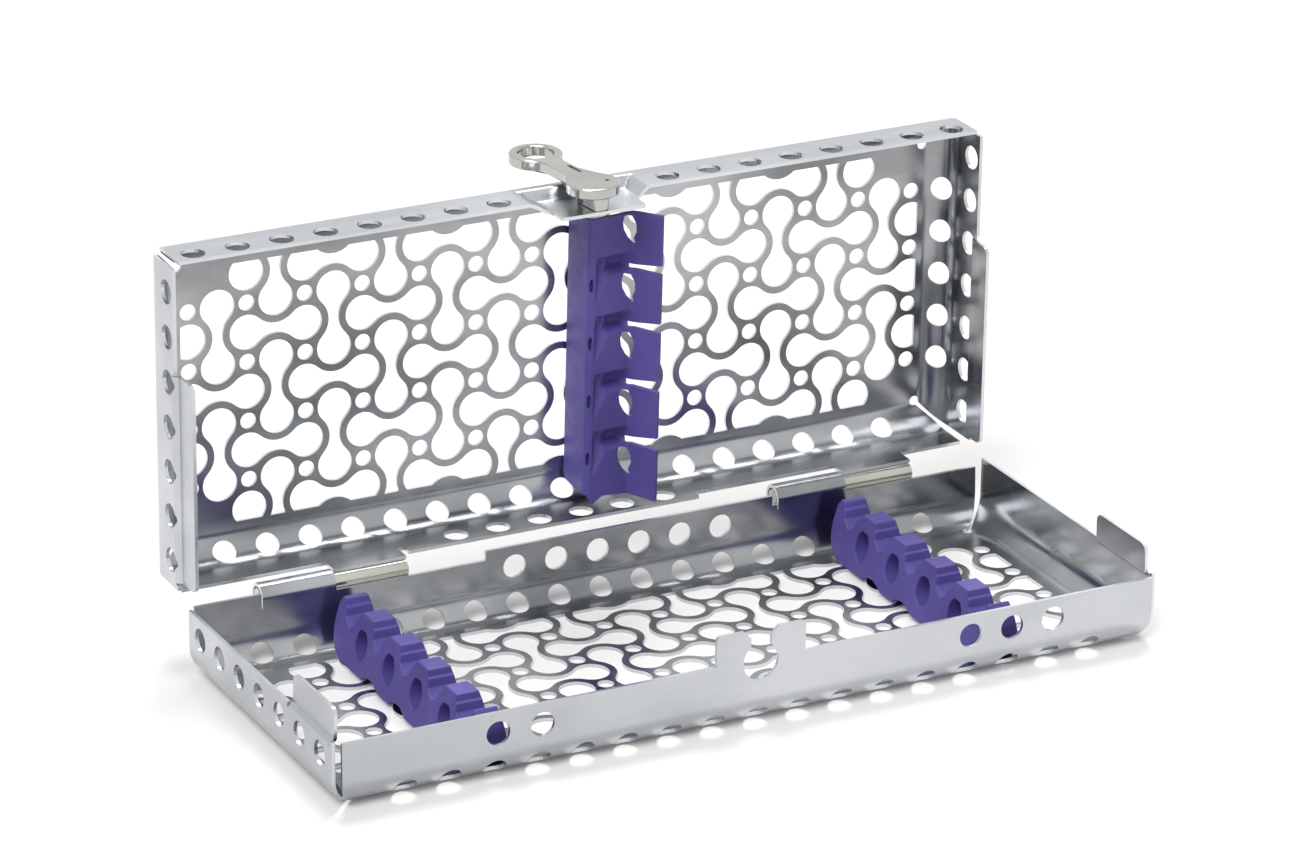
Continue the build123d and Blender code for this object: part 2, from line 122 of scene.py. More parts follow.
def circle(centre, radius, count=24):
    """A closed loop, counterclockwise."""
    return arc(centre, radius, 0, 360, count)[:-1]


def bone(centre, turned):
    """Two lobes joined by a waisted neck, all in tangent arcs."""
    half = PITCH / 2
    neck = PITCH / math.sqrt(2) - LOBE
    points = (
        arc((half, 0), LOBE, -135, 270, 20)
        + arc((0, half), neck, -45, -90, 8)[1:-1]
        + arc((-half, 0), LOBE, 45, 270, 20)
        + arc((0, -half), neck, 135, -90, 8)[1:-1]
    )
    if turned:
        points = [(-y, x) for x, y in points]
    return [(x + centre[0], y + centre[1]) for x, y in points]


def perforation():
    """Bones laid along and across by turns, in the panel's field."""
    shapes = []
    for a in range(1 - HALF_COLUMNS, HALF_COLUMNS):
        for b in range(-HALF_ROWS, HALF_ROWS + 1):
            centre = (a * PITCH, b * PITCH)
            if (a + b) % 2 == 1:
                shapes.append(bone(centre, True))
            elif abs(a) == HALF_COLUMNS - 1 and abs(b) == HALF_ROWS:
                shapes.append(circle((centre[0] * (1 - 0.5 / abs(a)), centre[1]), LOBE, 32))
            else:
                shapes.append(bone(centre, False))
    for b in range(1 - HALF_ROWS, HALF_ROWS):
        if (HALF_COLUMNS + b) % 2 == 0:
            for side in (-1, 1):
                shapes.append(circle((side * (HALF_COLUMNS - 0.5) * PITCH, b * PITCH), LOBE, 32))
    return shapes


def dots():
    """The small hole where four bones meet."""
    return [
        circle(((a + 0.5) * PITCH, (b + 0.5) * PITCH), DOT, 20)
        for a in range(-HALF_COLUMNS, HALF_COLUMNS)
        for b in range(-HALF_ROWS, HALF_ROWS)
    ]


def inside(points, outline):
    """Which points lie inside a closed outline."""
    x, y = points[:, 0], points[:, 1]
    result = np.zeros(len(points), bool)
    loop = np.array(outline)
    for (x0, y0), (x1, y1) in zip(loop, np.roll(loop, -1, axis=0)):
        if y0 == y1:
            continue
        crosses = (y0 > y) != (y1 > y)
        result ^= crosses & (x < (x1 - x0) * (y - y0) / (y1 - y0) + x0)
    return result


# Folding ----------------------------------------------------------------------------------


def triangulate(outline, holes, clipped, creases, window):
    """Triangles of a blank: the outline less its holes; clipped holes stay inside a window."""
    points, edges = [], []

    def line(loop, closed=True):
        first = len(points)
        points.extend(Vector(p) for p in loop)
        count = len(loop)
        edges.extend((first + i, first + i + 1) for i in range(count - 1))
        if closed:
            edges.append((first + count - 1, first))

    line(outline)
    for loop in holes + clipped:
        line(loop)
    for crease in creases:
        line(crease, closed=False)
    if window:
        x, y = window
        line([(-x, -y), (x, -y), (x, y), (-x, y)])
    made, _, faces, *_ = delaunay_2d_cdt(points, edges, [], 0, 1e-5)
    flat = np.array([tuple(p) for p in made])
    faces = np.array([f for f in faces if len(f) == 3])
    middle = flat[faces].mean(axis=1)
    keep = inside(middle, outline)
    for loop in holes:
        keep &= ~inside(middle, loop)
    if window:
        in_window = (abs(middle[:, 0]) < window[0]) & (abs(middle[:, 1]) < window[1])
        for loop in clipped:
            keep &= ~(inside(middle, loop) & in_window)
    faces = faces[keep]
    corner = flat[faces]
    area = np.cross(corner[:, 1] - corner[:, 0], corner[:, 2] - corner[:, 0])
    faces[area < 0] = faces[area < 0][:, ::-1]
    faces = faces[abs(area) > 1e-9]
    used, faces = np.unique(faces, return_inverse=True)
    return flat[used], faces.reshape(-1, 3)


def sheet_piece(name, blank, fold, thickness, to_world, flip=False):
    """Fold a triangulated blank and give it thickness; fold() places the middle of the sheet."""
    flat, faces = blank
    step = 1e-4
    along = fold(flat + (step, 0)) - fold(flat - (step, 0))
    across = fold(flat + (0, step)) - fold(flat - (0, step))
    normal = np.cross(across, along)
    normal /= np.linalg.norm(normal, axis=1)[:, None]
    if flip:
        normal = -normal
        faces = faces[:, ::-1]
    middle = fold(flat)
    outer, inner = middle + normal * thickness / 2, middle - normal * thickness / 2
    count = len(flat)
    sides = np.concatenate([faces[:, [0, 1]], faces[:, [1, 2]], faces[:, [2, 0]]])
    there = {tuple(e) for e in sides}
    rim = [(a, b) for a, b in there if (b, a) not in there]
    polygons = [tuple(f) for f in faces[:, ::-1]]
    polygons += [tuple(f + count) for f in faces]
    polygons += [(a, b, b + count, a + count) for a, b in rim]
    vertices = np.concatenate([outer, inner]) * MM
    matrix = np.array(to_world)
    vertices = vertices @ matrix[:3, :3].T + matrix[:3, 3] * MM
    turned = normal @ matrix[:3, :3].T
    mesh = bpy.data.meshes.new(name)
    mesh.from_pydata(vertices.tolist(), [], polygons)
    mesh.shade_smooth()
    corners = []
    for face in faces[:, ::-1]:
        corners += [turned[i] for i in face]
    for face in faces:
        corners += [-turned[i] for i in face]
    for a, b in rim:
        edge = vertices[b] - vertices[a]
        face_normal = np.cross(edge, vertices[b + count] - vertices[b])
        face_normal /= max(np.linalg.norm(face_normal), 1e-12)
        corners += [face_normal] * 4
    mesh.normals_split_custom_set([tuple(n) for n in corners])
    # Outer skin, inner skin and rims take materials 0, 1 and 2; on the trays the inner skin carries
    # painted shade and the rims a painted highlight.
    skin = np.zeros(len(polygons), np.int32)
    skin[len(faces) : 2 * len(faces)] = 1
    skin[2 * len(faces) :] = 2
    mesh.polygons.foreach_set("material_index", skin)
    piece = bpy.data.objects.new(name, mesh)
    bpy.context.collection.objects.link(piece)
    return piece


def smooth(t):
    """From 0 to 1 with no kink at either end."""
    t = np.clip(t, 0, 1)
    return t * t * (3 - 2 * t)


def wall_path(beyond):
    """Plan offset past the panel's edge, height and whether it is on the wall, along a fold."""
    angle = np.clip(beyond / NEUTRAL, 0, math.pi / 2)
    rise = np.maximum(beyond - BEND_LENGTH, 0)
    return NEUTRAL * np.sin(angle), BEND - NEUTRAL * np.cos(angle) + rise


def fold_tray(flat, tab, curls=(), recess=None):
    """Panel, bends and walls; end walls have joggled tabs, the rear wall curls at its rolls."""
    p, q = flat[:, 0], flat[:, 1]
    past_x = np.maximum(abs(p) - PANEL_X, 0)
    past_y = np.maximum(abs(q) - PANEL_Y, 0)
    out_x, up_x = wall_path(past_x)
    out_y, up_y = wall_path(past_y)
    on_end = (past_x > 0) & (past_y < past_x)
    on_tab = on_end & (q > tab[0] - TAB_SLIT / 2) & (q < tab[1] + TAB_SLIT / 2)
    above = up_x - DEPTH
    lean = JOGGLE * smooth(above / JOGGLE + 1) + TAB_LEAN * np.clip(above / TAB_HEIGHT, 0, 1)
    out_x = out_x - np.where(on_tab, lean, 0)
    x = np.where(past_x > 0, np.sign(p) * (PANEL_X + out_x), p)
    y = np.where(past_y > 0, np.sign(q) * (PANEL_Y + out_y), q)
    z = np.maximum(up_x * on_end, up_y * ~on_end)
    if recess is not None:
        y = y - np.where(q > 0, recess(p, up_y), 0)
    for start, end in curls:
        curl = (q > 0) & (p > start - 0.05) & (p < end + 0.05) & (up_y > HINGE_Z)
        turn = math.pi - (up_y - HINGE_Z) / ROLL_RADIUS
        y = np.where(curl, HINGE_Y + ROLL_RADIUS * np.cos(turn), y)
        z = np.where(curl, HINGE_Z + ROLL_RADIUS * np.sin(turn), z)
    return np.stack([x, y, z], axis=1)


def height_on_blank(z):
    """How far a height on a wall lies past the panel's edge on the flat blank."""
    return BEND_LENGTH + z - BEND


def tray_outline(front, right, rear, left):
    """The blank's outline from the rims of its four walls, each given left to right by (a, z)."""

    def flap(rim, half_span, place):
        angles = np.radians(np.arange(0, 91, 15))
        edge = [
            (half_span - BEND * (1 - math.sin(a)) - CORNER_SHIFT, NEUTRAL * a) for a in angles
        ]
        points = [(-s, e) for s, e in edge]
        points += [(a, height_on_blank(z)) for a, z in rim]
        points += [(s, e) for s, e in reversed(edge)]
        return [place(a, e) for a, e in points]

    x, y = LENGTH / 2 - CORNER_INSET, WIDTH / 2 - CORNER_INSET
    outline = [(-x, -y)]
    outline += flap(front, LENGTH / 2, lambda a, e: (a, -PANEL_Y - e))
    outline += [(x, -y)]
    outline += flap(right, WIDTH / 2, lambda a, e: (PANEL_X + e, a))
    outline += [(x, y)]
    outline += flap(rear, LENGTH / 2, lambda a, e: (a, PANEL_Y + e))[::-1]
    outline += [(-x, y)]
    outline += flap(left, WIDTH / 2, lambda a, e: (-PANEL_X - e, a))[::-1]
    return outline


def plain_rim(half_span, middle=()):
    """A rim at full depth between the corners, with what stands on it in the middle."""
    end = half_span - CORNER_SHIFT
    return [(-end, DEPTH)] + list(middle) + [(end, DEPTH)]


def block(start, end, low, high, corner=0.0):
    """A rise from one height to another and back, with rounded corners."""
    if not corner:
        return [(start, low), (start, high), (end, high), (end, low)]
    return (
        [(start, low)]
        + arc((start + corner, high - corner), corner, 180, -90, 6)
        + arc((end - corner, high - corner), corner, 90, -90, 6)
        + [(end, low)]
    )


def tab_rim(span):
    """A tab that is slit free of its wall down to the joggle."""
    low = DEPTH - JOGGLE
    start, end = span
    rise = block(start, end, low, DEPTH + TAB_HEIGHT, 2.0)
    before = [(start - TAB_SLIT, DEPTH), (start - TAB_SLIT, low)]
    return before + rise + [(end + TAB_SLIT, low), (end + TAB_SLIT, DEPTH)]


def row(places, place):
    """Round holes at whole steps of the spacing; place() puts a step on the blank."""
    return [circle(place(k * SPACING), HOLE) for k in places]


def bend_rows():
    """Round holes on the two long bends."""
    last = int((LENGTH / 2 - BEND - 2 * HOLE) / SPACING)
    middle = BEND_LENGTH / 2
    return [
        loop
        for side in (-1, 1)
        for loop in row(range(-last, last + 1), lambda k: (k, side * (PANEL_Y + middle)))
    ]


def end_bend_rows():
    """Round holes on the two short bends."""
    last = int((WIDTH / 2 - BEND - 2 * HOLE) / SPACING)
    middle = BEND_LENGTH / 2
    return [
        loop
        for side in (-1, 1)
        for loop in row(range(-last, last + 1), lambda k: (side * (PANEL_X + middle), k))
    ]


def wall_row(side, places, high):
    """Round holes in a long wall, at a height."""
    return row(places, lambda k: (k, side * (PANEL_Y + height_on_blank(high))))


def end_row(side, high):
    """Round holes all along an end wall, at a height."""
    last = int((WIDTH / 2 - 2 * HOLE) / SPACING)
    return row(
        range(-last, last + 1), lambda k: (side * (PANEL_X + height_on_blank(high)), k)
    )


def reliefs():
    """The small holes at the corners, where the bends meet."""
    x, y = LENGTH / 2 - CORNER_INSET, WIDTH / 2 - CORNER_INSET
    return [circle((a * x, b * y), CORNER_RELIEF) for a in (-1, 1) for b in (-1, 1)]


def bend_creases():
    """Lines along the bends and the joggles, where the sheet turns."""
    lines = []
    for k in range(9):
        e = BEND_LENGTH * k / 8
        for side in (-1, 1):
            y, x = side * (PANEL_Y + e), side * (PANEL_X + e)
            lines.append([(-LENGTH / 2, y), (LENGTH / 2, y)])
            lines.append([(x, -WIDTH / 2), (x, WIDTH / 2)])
    for k in range(6):
        e = height_on_blank(DEPTH - JOGGLE * k / 5)
        for side in (-1, 1):
            x = side * (PANEL_X + e)
            lines.append([(x, -WIDTH / 2), (x, WIDTH / 2)])
    return lines


def roll_creases(spans):
    """Lines across each knuckle's strip, where it curls."""
    base = PANEL_Y + height_on_blank(HINGE_Z)
    lines = []
    for start, end in spans:
        for k in range(ROLL_STEPS + 1):
            y = base + ROLL_RADIUS * ROLL_SWEEP * k / ROLL_STEPS
            lines.append([(start, y), (end, y)])
    return lines


def keyhole():
    """Rim of the tab on the base's front wall: a slot that widens into a round hole."""
    half_tab, top, corner, neck, flare = 10.9, DEPTH + 7.0, 1, 2.5, 1.8
    centre, radius = DEPTH - 0.6, 4.3
    reach = math.degrees(math.asin(neck / radius))
    left = [(-half_tab, DEPTH)] + arc((-half_tab + corner, top - corner), corner, 180, -90, 6)
    left += [(-neck - flare, top), (-neck, top - flare)]
    round_part = arc((0, centre), radius, 90 + reach, 360 - 2 * reach, 36)
    right = [(-x, z) for x, z in reversed(left)]
    return left + round_part + right


def dish(p, height):
    """Depth of the latch's recess in the lid's front wall."""
    start, end = DISH_SPAN
    along = np.minimum((p - start) / DISH_RAMPS[0], (end - p) / DISH_RAMPS[1])
    return DISH_DEPTH * smooth(np.minimum(along, (height - BEND) / DISH_RISE))


def dish_creases():
    """A grid over the recess, fine enough for its slopes."""
    start, end, step = DISH_SPAN[0] - 0.5, DISH_SPAN[1] + 0.4, 0.7
    low, high = PANEL_Y + height_on_blank(BEND), PANEL_Y + height_on_blank(DEPTH)
    upright = [start + k * step for k in range(45)]
    level = [low + (high - low) * k / 18 for k in range(19)]
    lines = [[(x, low), (x, high)] for x in upright]
    return lines + [[(start, y), (end, y)] for y in level]


def roll_rim(span):
    """The strip that curls into a knuckle, slit free of the wall to its left."""
    start, end = span
    reach = HINGE_Z + ROLL_RADIUS * ROLL_SWEEP
    slit = [(start - ROLL_SLIT, ROLL_FOOT), (start, ROLL_FOOT)]
    return slit + [(start, reach), (end, reach), (end, LOW_RIM)]


def make_base_tray():
    end = LENGTH / 2 - CORNER_SHIFT
    rear = [(-end, DEPTH), (LEFT_ROLL[0] - ROLL_SLIT, DEPTH)] + roll_rim(LEFT_ROLL)
    rear += block(*BASE_STEP, LOW_RIM, DEPTH)
    rear += [(RIGHT_ROLL[0] - ROLL_SLIT, LOW_RIM)] + roll_rim(RIGHT_ROLL) + [(RIM_END, LOW_RIM)]
    side = plain_rim(WIDTH / 2, tab_rim(BASE_TAB))
    outline = tray_outline(plain_rim(LENGTH / 2, keyhole()), side, rear, side)
    holes = dots() + bend_rows() + reliefs()
    holes += wall_row(-1, FRONT_WALL_HOLES, BASE_HOLES) + end_row(-1, BASE_HOLES)
    holes += wall_row(1, REAR_WALL_HOLES, BASE_HOLES)
    rolls = (LEFT_ROLL, RIGHT_ROLL)
    creases = bend_creases() + roll_creases(rolls)
    blank = triangulate(outline, holes, perforation(), creases, (FIELD_X, FIELD_Y))
    return sheet_piece(
        "tray_base", blank, lambda flat: fold_tray(flat, BASE_TAB, rolls), SHEET, BASE
    )


def make_lid_tray():
    hinge = [(-RIM_END, LOW_RIM)] + block(*LEFT_TONGUE, LOW_RIM, TONGUE_REACH)
    hinge += block(*LID_STEP, LOW_RIM, DEPTH)
    hinge += block(*RIGHT_TONGUE, LOW_RIM, TONGUE_REACH) + [(RIM_END, LOW_RIM)]
    side = plain_rim(WIDTH / 2, tab_rim(LID_TAB))
    plate = block(*PLATE_SPAN, DEPTH, DEPTH + PLATE_REACH, PLATE_CORNER)
    latch = plain_rim(LENGTH / 2, plate)
    outline = tray_outline(hinge, side, latch, side)
    holes = dots() + bend_rows() + end_bend_rows() + reliefs()
    holes += wall_row(1, LATCH_WALL_HOLES, LID_HOLES) + wall_row(-1, HINGE_WALL_HOLES, LID_HOLES)
    holes += end_row(-1, LID_HOLES) + end_row(1, LID_HOLES)
    creases = bend_creases() + dish_creases()
    blank = triangulate(outline, holes, perforation(), creases, (FIELD_X, FIELD_Y))
    return sheet_piece(
        "tray_lid", blank, lambda flat: fold_tray(flat, LID_TAB, recess=dish), SHEET, LID
    )


# Moulded and turned pieces ----------------------------------------------------------------


def rounded(points, radius, steps=4):
    """A polygon with its corners turned into arcs, as large as their sides allow."""
    corners = [Vector(p) for p in points]
    outline = []
    for index, corner in enumerate(corners):
        back = corners[index - 1] - corner
        ahead = corners[(index + 1) % len(corners)] - corner
        angle = back.angle(ahead)
        reach = min(radius / math.tan(angle / 2), 0.45 * back.length, 0.45 * ahead.length)
        start, end = corner + back.normalized() * reach, corner + ahead.normalized() * reach
        for k in range(steps + 1):
            t = k / steps
            bend = start * (1 - t) ** 2 + corner * 2 * t * (1 - t) + end * t**2
            outline.append(tuple(bend))
    return outline


def outward(loop):
    """Unit normals of a counterclockwise loop, shared by the two sides at each point."""
    points = np.array(loop)
    ahead = np.roll(points, -1, axis=0) - points
    ahead /= np.linalg.norm(ahead, axis=1)[:, None]
    normal = np.stack([ahead[:, 1], -ahead[:, 0]], axis=1)
    shared = normal + np.roll(normal, 1, axis=0)
    return shared / np.linalg.norm(shared, axis=1)[:, None]


def make_mesh(name, vertices, polygons, normals, to_world):
    """A mesh in the tool's metres with a normal for each corner of each polygon."""
    matrix = np.array(to_world)
    placed = np.array(vertices) @ matrix[:3, :3].T * MM + matrix[:3, 3] * MM
    turned = np.array(normals) @ matrix[:3, :3].T
    mesh = bpy.data.meshes.new(name)
    mesh.from_pydata(placed.tolist(), [], polygons)
    mesh.shade_smooth()
    mesh.normals_split_custom_set([tuple(n) for n in turned])
    piece = bpy.data.objects.new(name, mesh)
    bpy.context.collection.objects.link(piece)
    return piece


class Skin:
    """Vertices, and polygons with a normal for each of their corners."""

    def __init__(self):
        self.vertices, self.polygons, self.normals = [], [], []

    def add(self, corners, normals):
        self.polygons.append(tuple(corners))
        self.normals.extend(normals)


def round_edge(skin, loop, side, half, soft):
    """The rim along a loop, softened at both faces; side is -1 round a hole.

    Returns the rim's rings of vertices, from the upper face to the lower.
    """
    quarter = [math.radians(a) for a in (90, 60, 30, 0)]
    away = outward(loop) * side
    rings, tilts = [], []
    for level, turn in [(1, a) for a in quarter] + [(-1, a) for a in reversed(quarter)]:
        inset = np.array(loop) - away * soft * (1 - math.cos(turn))
        first = len(skin.vertices)
        for u, v in inset:
            skin.vertices.append((u, v, level * (half(v) - soft * (1 - math.sin(turn)))))
        rings.append(list(range(first, len(skin.vertices))))
        flat, upright = math.cos(turn), level * math.sin(turn)
        tilts.append([(nu * flat, nv * flat, upright) for nu, nv in away])
    for k in range(len(rings) - 1):
        for i in range(len(loop)):
            j = (i + 1) % len(loop)
            quad = [(k, i), (k + 1, i), (k + 1, j), (k, j)]
            if side < 0:
                quad.reverse()
            skin.add([rings[a][b] for a, b in quad], [tilts[a][b] for a, b in quad])
    return rings


def sink_pit(skin, loop, depth, half):
    """The walls and bottom of a pit in the upper face; returns the ring at its mouth."""
    rings = []
    for drop in (0, depth):
        first = len(skin.vertices)
        skin.vertices.extend((u, v, half(v) - drop) for u, v in loop)
        rings.append(list(range(first, len(skin.vertices))))
    mouth, bottom = rings
    walls = outward(loop)
    for i in range(len(loop)):
        j = (i + 1) % len(loop)
        inward = [(-walls[k][0], -walls[k][1], 0) for k in (j, j, i, i)]
        skin.add([mouth[j], bottom[j], bottom[i], mouth[i]], inward)
    skin.add(bottom, [(0, 0, 1)] * len(loop))
    return mouth


def cap(skin, rings, outline, gaps, level, half):
    """Triangles over a face, between its rings of vertices, less the loops of its gaps."""
    points, edges, index = [], [], []
    for ring in rings:
        first = len(points)
        points.extend(Vector(skin.vertices[i][:2]) for i in ring)
        index.extend(ring)
        edges.extend((first + i, first + (i + 1) % len(ring)) for i in range(len(ring)))
    made, _, faces, origin, *_ = delaunay_2d_cdt(points, edges, [], 0, 1e-6)
    flat = np.array([tuple(p) for p in made])
    triangles = np.array([f for f in faces if len(f) == 3])
    middle = flat[triangles].mean(axis=1)
    keep = inside(middle, outline)
    for loop in gaps:
        keep &= ~inside(middle, loop)
    for point, sources in zip(flat, origin):
        if not sources:
            sources.append(len(index))
            index.append(len(skin.vertices))
            skin.vertices.append((*point, level * half(point[1])))
    for triangle in triangles[keep]:
        corners = [index[origin[k][0]] for k in triangle]
        a, b, c = (Vector(skin.vertices[k]) for k in corners)
        normal = (b - a).cross(c - a)
        if normal.z * level < 0:
            corners.reverse()
            normal = -normal
        normal.normalize()
        skin.add(corners, [tuple(normal)] * 3)


def moulded(name, outline, holes, half, soft, to_world, pits=()):
    """An outline raised along the third axis, its edges rounded; half(v) is half its thickness.

    Pits are loops sunk into the upper face by a depth.
    """
    skin = Skin()
    rims = [round_edge(skin, outline, 1, half, soft)]
    rims += [round_edge(skin, hole, -1, half, soft) for hole in holes]
    mouths = [sink_pit(skin, loop, depth, half) for loop, depth in pits]
    sunk = [loop for loop, _ in pits]
    cap(skin, [rings[0] for rings in rims] + mouths, outline, holes + sunk, 1, half)
    cap(skin, [rings[-1] for rings in rims], outline, holes, -1, half)
    return make_mesh(name, skin.vertices, skin.polygons, skin.normals, to_world)


def turned_piece(name, profile, to_world, count=48):
    """A profile of (radius, height) points, from the axis up and back to it, turned round Z."""
    skin = Skin()
    around = [(math.cos(a), math.sin(a)) for a in 2 * math.pi * np.arange(count) / count]
    for radius, height in profile:
        skin.vertices.extend((radius * x, radius * y, height) for x, y in around)
    for level, ((r0, z0), (r1, z1)) in enumerate(zip(profile, profile[1:])):
        slope = Vector((z1 - z0, r0 - r1)).normalized()
        ring, above = level * count, (level + 1) * count
        for k in range(count):
            j = (k + 1) % count
            corners = [ring + k, ring + j, above + j, above + k]
            if r0 == 0:
                corners = [ring + k, above + j, above + k]
            elif r1 == 0:
                corners = [ring + k, ring + j, above + k]
            sides = [around[corner % count] for corner in corners]
            skin.add(corners, [(slope.x * x, slope.x * y, slope.y) for x, y in sides])
    return make_mesh(name, skin.vertices, skin.polygons, skin.normals, to_world)


def joined(pieces):
    """Several pieces made into one."""
    first = pieces[0]
    chosen = {"selected_objects": pieces, "selected_editable_objects": pieces}
    with bpy.context.temp_override(active_object=first, object=first, **chosen):
        bpy.ops.object.join()
    return first


# Rails and latch --------------------------------------------------------------------------


def rail_outline():
    """Pads with a stepped flank to each side, valleys between them and free ends."""
    front_flank = [(-7, 8.8), (-4.62, 10.8), (-4.34, 12.6), (-3.71, 12.9), (-3.43, RAIL_TOP)]
    rear_flank = [(2.1, RAIL_TOP), (2.6, 13.5), (3.4, 13.1), (3.8, 12.2), (4.6, 11.8)]
    rear_flank.append((4.85, 10.4))
    horn = [(RAIL_END - 1.8, RAIL_TOP), (RAIL_END - 0.5, RAIL_TOP - 1.6)]
    last = (HALF_ROWS + 0.5) * PITCH
    top = [(-y, z) for y, z in reversed(horn)] + [(-last + y, z) for y, z in rear_flank]
    for pad in range(-HALF_ROWS, HALF_ROWS):
        centre = (pad + 0.5) * PITCH
        top += [(centre + y, z) for y, z in front_flank + rear_flank]
    top += [(last + y, z) for y, z in front_flank] + horn
    rear = [(RAIL_END, RAIL_SHOULDER)]
    rear += arc((RAIL_END - BEND, SHEET + BEND), BEND, 0, -90, 8)
    front = arc((BEND - RAIL_END, SHEET + BEND), BEND, -90, -90, 8)
    front.append((-RAIL_END, RAIL_SHOULDER))
    foot = []
    for valley in range(HALF_ROWS - 1, -HALF_ROWS, -1):
        arch = arc((0, 0), 1, 0, 180, 10)
        foot += [(valley * PITCH + ARCH_WIDE * y, SHEET + ARCH_HIGH * z) for y, z in arch]
    return rounded((top + rear + foot + front)[::-1], 0.35, 3)


def make_rail(name, column):
    """A rail across the base, wider at its foot, with an oval window in each pad."""
    windows = []
    for pad in range(-HALF_ROWS, HALF_ROWS):
        centre = (pad + 0.5) * PITCH
        oval = circle((0, 0), 1, 28)
        windows.append(
            [(centre + WINDOW_WIDE * y, WINDOW_HEIGHT + WINDOW_HIGH * z) for y, z in oval]
        )
    place = Matrix.Translation((column * PITCH, 0, 0)) @ Matrix(
        ((0, 0, 1, 0), (1, 0, 0, 0), (0, 1, 0, 0), (0, 0, 0, 1))
    )
    return moulded(
        name,
        rail_outline(),
        windows,
        lambda z: RAIL_THICKNESS / 2 + RAIL_DRAFT * (RAIL_TOP - z),
        0.3,
        place,
    )


def make_plugs(name, places, to_world):
    """The rail's plugs, which fill the small holes of the panel."""
    foot, top = 0.05, SHEET + 0.2
    profile = [(0, foot), (PLUG_RADIUS - PLUG_EDGE, foot), (PLUG_RADIUS, foot + PLUG_EDGE)]
    profile += [(PLUG_RADIUS, top), (0, top)]
    plugs = [
        turned_piece(name, profile, to_world @ Matrix.Translation((x, y, 0)), 24)
        for x, y in places
    ]
    return joined(plugs)


def flap_section():
    """Middle line of the lid's rail: foot, wall, ridge, flap, fold and lip."""
    corners = [(11.6, 1.4), (2.25, 1.4), (2.25, RIDGE_HEIGHT), (13.4, 10.75), (17.9, 16.6)]
    points = [Vector(corners[0])]
    for before, corner, after in zip(corners, corners[1:], corners[2:]):
        corner = Vector(corner)
        start = corner + (Vector(before) - corner).normalized() * SECTION_BEND
        end = corner + (Vector(after) - corner).normalized() * SECTION_BEND
        for k in range(7):
            t = k / 6
            points.append(start * (1 - t) ** 2 + corner * 2 * t * (1 - t) + end * t**2)
    points.append(Vector(corners[-1]))
    line = np.array([tuple(p) for p in points])
    steps = np.linalg.norm(np.diff(line, axis=0), axis=1)
    return line, np.concatenate([[0], np.cumsum(steps)])


def flap_relief(past_ridge, below_slit):
    """How deep the flap is pressed in: a facet under each slit at the ridge, a trough at it."""
    wide, start, high = 3.9, 2, 6.6
    facet = FACET_DEPTH * (1 - past_ridge / wide - (below_slit - start) / high)
    facet = np.where(past_ridge > 0, np.clip(facet, 0, FACET_DEPTH), 0)
    floor, below, above = 0.4, 2, 6
    under, over = smooth((floor + below - below_slit) / below), smooth((below_slit + above) / above)
    near, near_slope, far, far_slope = 0.4, 5, 11, 4
    along = smooth((past_ridge - near) / near_slope) * smooth((far - past_ridge) / far_slope)
    return np.maximum(facet, TROUGH_DEPTH * np.where(below_slit > 0, under, over) * along)


def flap_outline(ridge, reach):
    """The rail's sheet laid flat: slits that widen to the lip and a tail below the ridge."""
    outline = [(0, FLAP_BOTTOM), (9.0, FLAP_BOTTOM), (10.4, FLAP_BOTTOM - 2.0)]
    outline += [(ridge - 1, FLAP_BOTTOM - 2.7), (ridge + 0.2, FLAP_BOTTOM - FLAP_TAIL)]
    outline += [(ridge + 3.0, FLAP_BOTTOM - 3.6), (reach, FLAP_BOTTOM - FLAP_TAIL)]
    start = ridge + 9.4
    for k in reversed(range(4)):
        level = FIRST_SLIT - k * PITCH
        low, high = level - 1.75 - 0.2 * k, level + 0.3 + 0.1 * k
        back, half = level - 0.8, 0.5 + 0.08 * k
        outline += [(reach, low), (start, back - half), (start, back + half), (reach, high)]
    return outline + [(reach, FLAP_TOP), (0, FLAP_TOP)]


def flap_holes(ridge):
    """An almond window in each flap and a notch in the ridge beside all but the first."""
    almond = [(7.2, 0), (6.8, -1.6), (7.1, -3.4), (8.2, -5.4), (10.3, -7.6)]
    almond += [(10.6, -6.8), (10.0, -5.9), (10.9, -4.4), (10.8, -2.4), (9.3, -0.5)]
    holes = []
    for k in range(5):
        top = FIRST_SLIT + PITCH - 2.1 - k * PITCH
        holes.append(rounded([(ridge + s, top + v) for s, v in almond], 0.6, 3))
        if k > 0:
            oval = circle((0, 0), 1, 12)
            holes.append([(ridge - 0.9 + 0.3 * s, top - 1.4 + 1.7 * v) for s, v in oval])
    return holes


def make_lid_rail():
    line, along = flap_section()
    ridge = float(along[np.argmax(line[:, 1] > RIDGE_HEIGHT - 0.2)]) + SECTION_BEND
    reach = float(along[-1])

    def fold(flat):
        s, v = flat[:, 0], flat[:, 1]
        lean = FLAP_LEAN * (FLAP_TOP - v) / (FLAP_TOP - FLAP_BOTTOM)
        x = np.interp(s, along, line[:, 0]) - lean
        z = np.interp(s, along, line[:, 1])
        slit = FIRST_SLIT - PITCH * np.round((FIRST_SLIT - v) / PITCH - 0.3)
        depth = flap_relief(s - ridge, slit - v)
        depth = np.where((slit > FLAP_TOP) | (slit < FLAP_BOTTOM), 0, depth)
        return np.stack([x, v, z - depth], axis=1)

    low, cell = FLAP_BOTTOM - 6, 0.7
    upright = list(along[1:-1]) + [ridge + 0.3 + k * 0.65 for k in range(18)]
    level = [FLAP_BOTTOM + k * cell for k in range(1, int((FLAP_TOP - FLAP_BOTTOM) / cell))]
    creases = [[(s, low), (s, FLAP_TOP)] for s in upright]
    creases += [[(ridge - 0.2, v), (ridge + 11.5, v)] for v in level]
    blank = triangulate(flap_outline(ridge, reach), flap_holes(ridge), [], creases, None)
    return sheet_piece("lid_rail_body", blank, fold, FLAP_THICKNESS, LID, flip=True)


